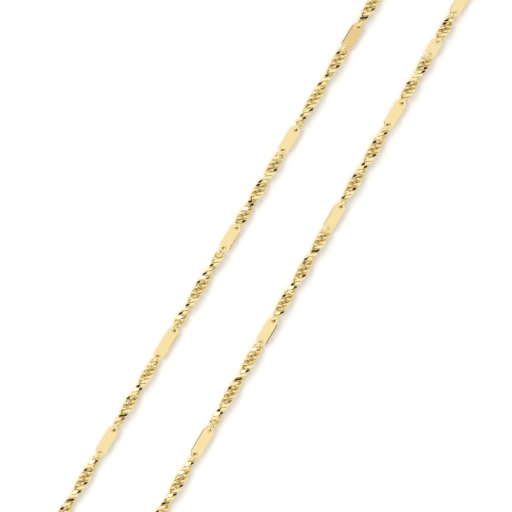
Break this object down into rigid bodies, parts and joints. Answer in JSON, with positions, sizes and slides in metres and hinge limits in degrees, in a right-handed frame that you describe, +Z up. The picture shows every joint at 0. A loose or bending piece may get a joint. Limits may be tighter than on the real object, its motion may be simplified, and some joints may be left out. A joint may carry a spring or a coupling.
{
  "type": "chain necklace",
  "caption": "Gold chain necklace laid out as a long closed loop: flat bars with an eye at each end alternate with lengths of twisted curb chain, and a ring clasp closes it.",
  "frame": {"origin": "on the surface that the chain lies on, under the middle of the loop's length and of its width", "axes": "+X along the loop towards its clasp end, +Z up from the surface, +Y across the loop towards the strand that has the clasp"},
  "size_m": [0.2158, 0.02, 0.0024],
  "materials": {
    "gold_bars": "mirror polish",
    "gold_chain": "bright polish with cut facets",
    "gold_clasp": "bright polish"
  },
  "bodies": {
    "root": {"bar_01": "gold_bars", "bar_02": "gold_bars", "bar_03": "gold_bars", "bar_04": "gold_bars", "bar_05": "gold_bars", "bar_06": "gold_bars", "bar_07": "gold_bars", "bar_08": "gold_bars", "bar_09": "gold_bars", "bar_10": "gold_bars", "bar_11": "gold_bars", "bar_12": "gold_bars", "bar_13": "gold_bars", "bar_14": "gold_bars", "bar_15": "gold_bars", "bar_16": "gold_bars", "bar_17": "gold_bars", "bar_18": "gold_bars", "bar_19": "gold_bars", "twist_01": "gold_chain", "twist_02": "gold_chain", "twist_03": "gold_chain", "twist_04": "gold_chain", "twist_05": "gold_chain", "twist_06": "gold_chain", "twist_07": "gold_chain", "twist_08": "gold_chain", "twist_09": "gold_chain", "twist_10": "gold_chain", "twist_11": "gold_chain", "twist_12": "gold_chain", "twist_13": "gold_chain", "twist_14": "gold_chain", "twist_15": "gold_chain", "twist_16": "gold_chain", "twist_17": "gold_chain", "twist_18": "gold_chain", "twist_19": "gold_chain", "twist_20": "gold_chain", "clasp": "gold_clasp"}
  },
  "joints": []
}
